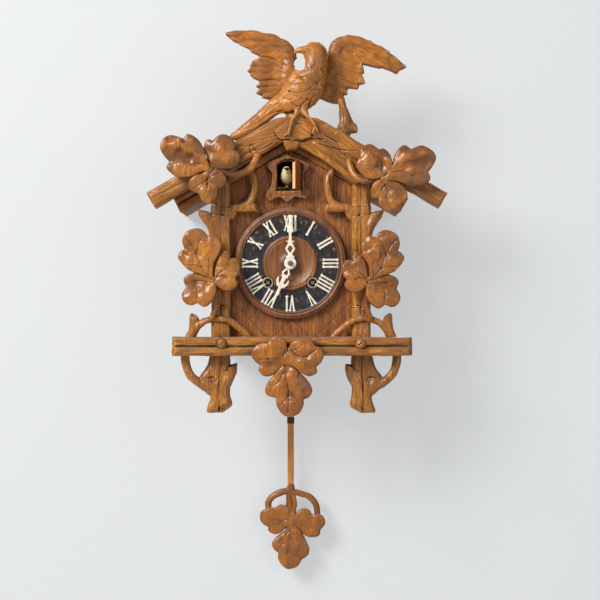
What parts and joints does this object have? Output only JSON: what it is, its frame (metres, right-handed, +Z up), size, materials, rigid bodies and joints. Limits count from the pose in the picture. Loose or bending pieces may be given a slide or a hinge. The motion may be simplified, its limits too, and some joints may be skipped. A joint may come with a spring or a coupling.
{
  "type": "cuckoo clock",
  "caption": "Carved wooden wall cuckoo clock: gabled case with branch frame and leaves, bird on the ridge, bone hands, bird door, spring-driven works and leaf pendulum.",
  "frame": {"origin": "on the wall plane, straight behind the axis of the hands", "axes": "+Z up, +Y into the wall, +X to the right seen from the front"},
  "size_m": [0.3605, 0.156, 0.662],
  "materials": {
    "carved_wood": "varnished carving",
    "dark_board": "varnished board",
    "case_wood": "unvarnished inside, thin stain outside",
    "dial_wood": "polished turned wood",
    "bone": "polished bone",
    "brass": "aged",
    "steel": "aged",
    "pale_wood": "raw",
    "bellows_paper": "folded",
    "bird_paint": "painted wood",
    "beak_paint": "painted wood"
  },
  "bodies": {
    "case": {"case_front": "dark_board", "case_side_left": "case_wood", "case_side_right": "case_wood", "case_floor": "case_wood", "back_panel": "case_wood", "hanger_plate": "steel", "gong": "steel", "roof_left": "carved_wood", "roof_right": "carved_wood", "rafter_left": "carved_wood", "rafter_right": "carved_wood", "branch_frame_left": "carved_wood", "branch_frame_right": "carved_wood", "bottom_beam": "carved_wood", "beam_screw_left": "carved_wood", "beam_screw_right": "carved_wood", "eave_leaves_left": "carved_wood", "eave_leaves_right": "carved_wood", "side_leaves_left": "carved_wood", "side_leaves_right": "carved_wood", "bottom_leaves": "carved_wood", "bird_body": "carved_wood", "bird_wing_left": "carved_wood", "bird_wing_right": "carved_wood", "wing_stump": "carved_wood", "door_surround": "carved_wood", "dial_plate": "dial_wood", "winding_grommet_left": "bone", "winding_grommet_right": "bone", "plate_back": "brass", "plate_front": "brass", "bird_bracket": "brass", "whistle_left": "pale_wood", "whistle_right": "pale_wood", "bellows_left": "bellows_paper", "bellows_right": "bellows_paper"},
    "side_door": {"side_door_right": "case_wood"},
    "bird_door": {"bird_door": "carved_wood"},
    "bird_arm": {"bird_arm": "brass", "cuckoo": "bird_paint"},
    "beak": {"cuckoo_beak": "beak_paint"},
    "minute_arbor": {"centre_wheel": "brass", "minute_hand": "bone", "hand_nut": "brass"},
    "hour_pipe": {"hour_hand": "bone"},
    "barrel_time": {"barrel_time": "brass"},
    "barrel_strike": {"barrel_strike": "brass"},
    "arbor_time": {"arbor_time": "steel"},
    "arbor_strike": {"arbor_strike": "steel"},
    "third_wheel": {"third_wheel": "brass"},
    "escape_wheel": {"escape_wheel": "brass"},
    "anchor": {"anchor": "steel"},
    "strike_wheel": {"strike_wheel": "brass"},
    "fly": {"fly": "brass"},
    "hammer": {"hammer": "steel"},
    "bellows_top_left": {"bellows_top_left": "pale_wood"},
    "bellows_top_right": {"bellows_top_right": "pale_wood"},
    "pendulum": {"pendulum_hook": "steel", "pendulum_rod": "carved_wood", "pendulum_bob": "carved_wood"}
  },
  "joints": [
    {"name": "minute_spin", "type": "hinge", "parent": "case", "child": "minute_arbor", "pos_m": [0, -0.06, 0], "axis": [0, 1, 0], "continuous": true},
    {"name": "hour_spin", "type": "hinge", "parent": "case", "child": "hour_pipe", "pos_m": [0, -0.1, 0], "axis": [0, 1, 0], "continuous": true},
    {"name": "barrel_time_spin", "type": "hinge", "parent": "case", "child": "barrel_time", "pos_m": [0.0268, -0.06, -0.0232], "axis": [0, 1, 0], "continuous": true},
    {"name": "third_spin", "type": "hinge", "parent": "case", "child": "third_wheel", "pos_m": [0.02, -0.055, 0.02072], "axis": [0, 1, 0], "continuous": true},
    {"name": "escape_spin", "type": "hinge", "parent": "case", "child": "escape_wheel", "pos_m": [0, -0.055, 0.03538], "axis": [0, 1, 0], "continuous": true},
    {"name": "strike_spin", "type": "hinge", "parent": "case", "child": "strike_wheel", "pos_m": [-0.042, -0.055, 0.0088], "axis": [0, 1, 0], "continuous": true},
    {"name": "barrel_strike_spin", "type": "hinge", "parent": "case", "child": "barrel_strike", "pos_m": [-0.0268, -0.06, -0.0232], "axis": [0, 1, 0], "continuous": true},
    {"name": "fly_spin", "type": "hinge", "parent": "case", "child": "fly", "pos_m": [-0.03, -0.055, 0.0238], "axis": [0, 1, 0], "continuous": true},
    {"name": "winding_time", "type": "hinge", "parent": "case", "child": "arbor_time", "pos_m": [0.0268, -0.06, -0.0232], "axis": [0, 1, 0], "continuous": true},
    {"name": "winding_strike", "type": "hinge", "parent": "case", "child": "arbor_strike", "pos_m": [-0.0268, -0.06, -0.0232], "axis": [0, 1, 0], "continuous": true},
    {"name": "pendulum_swing", "type": "hinge", "parent": "case", "child": "pendulum", "pos_m": [0, -0.0182, 0.0514], "axis": [0, 1, 0], "range_deg": [-4.5, 4.5]},
    {"name": "anchor_rock", "type": "hinge", "parent": "case", "child": "anchor", "pos_m": [0, -0.05, 0.0514], "axis": [0, 1, 0], "range_deg": [-4.5, 4.5]},
    {"name": "bird_arm_swing", "type": "hinge", "parent": "case", "child": "bird_arm", "pos_m": [-0.062, -0.082, 0.092], "axis": [0, 0, 1], "range_deg": [0, 35]},
    {"name": "bird_door_swing", "type": "hinge", "parent": "case", "child": "bird_door", "pos_m": [0.013, -0.1055, 0.106], "axis": [0, 0, 1], "range_deg": [-72, 12]},
    {"name": "beak_hinge", "type": "hinge", "parent": "bird_arm", "child": "beak", "pos_m": [-0.0045, -0.112, 0.1095], "axis": [1, 0, 0], "range_deg": [-6, 8]},
    {"name": "hammer_lift", "type": "hinge", "parent": "case", "child": "hammer", "pos_m": [-0.046, -0.027, 0.036], "axis": [0, 1, 0], "range_deg": [0, 8]},
    {"name": "bellows_left_lift", "type": "hinge", "parent": "case", "child": "bellows_top_left", "pos_m": [-0.0747, -0.036, 0.0483], "axis": [-1, 0, 0], "range_deg": [0, 16], "deforming": ["bellows_left"]},
    {"name": "bellows_right_lift", "type": "hinge", "parent": "case", "child": "bellows_top_right", "pos_m": [0.0747, -0.036, 0.0483], "axis": [-1, 0, 0], "range_deg": [0, 16], "deforming": ["bellows_right"]},
    {"name": "side_door_swing", "type": "hinge", "parent": "case", "child": "side_door", "pos_m": [0.091, -0.025, -0.015], "axis": [0, 0, 1], "range_deg": [0, 100]}
  ],
  "couplings": [
    {"joint": "hour_spin", "follows": "minute_spin", "ratio": 0.083333},
    {"joint": "barrel_time_spin", "follows": "minute_spin", "ratio": -0.16667},
    {"joint": "third_spin", "follows": "minute_spin", "ratio": -9.5},
    {"joint": "escape_spin", "follows": "minute_spin", "ratio": 95},
    {"joint": "barrel_strike_spin", "follows": "strike_spin", "ratio": -0.16667},
    {"joint": "fly_spin", "follows": "strike_spin", "ratio": -5},
    {"joint": "anchor_rock", "follows": "pendulum_swing", "ratio": 1},
    {"joint": "bird_door_swing", "follows": "bird_arm_swing", "ratio": -2.0571}
  ]
}
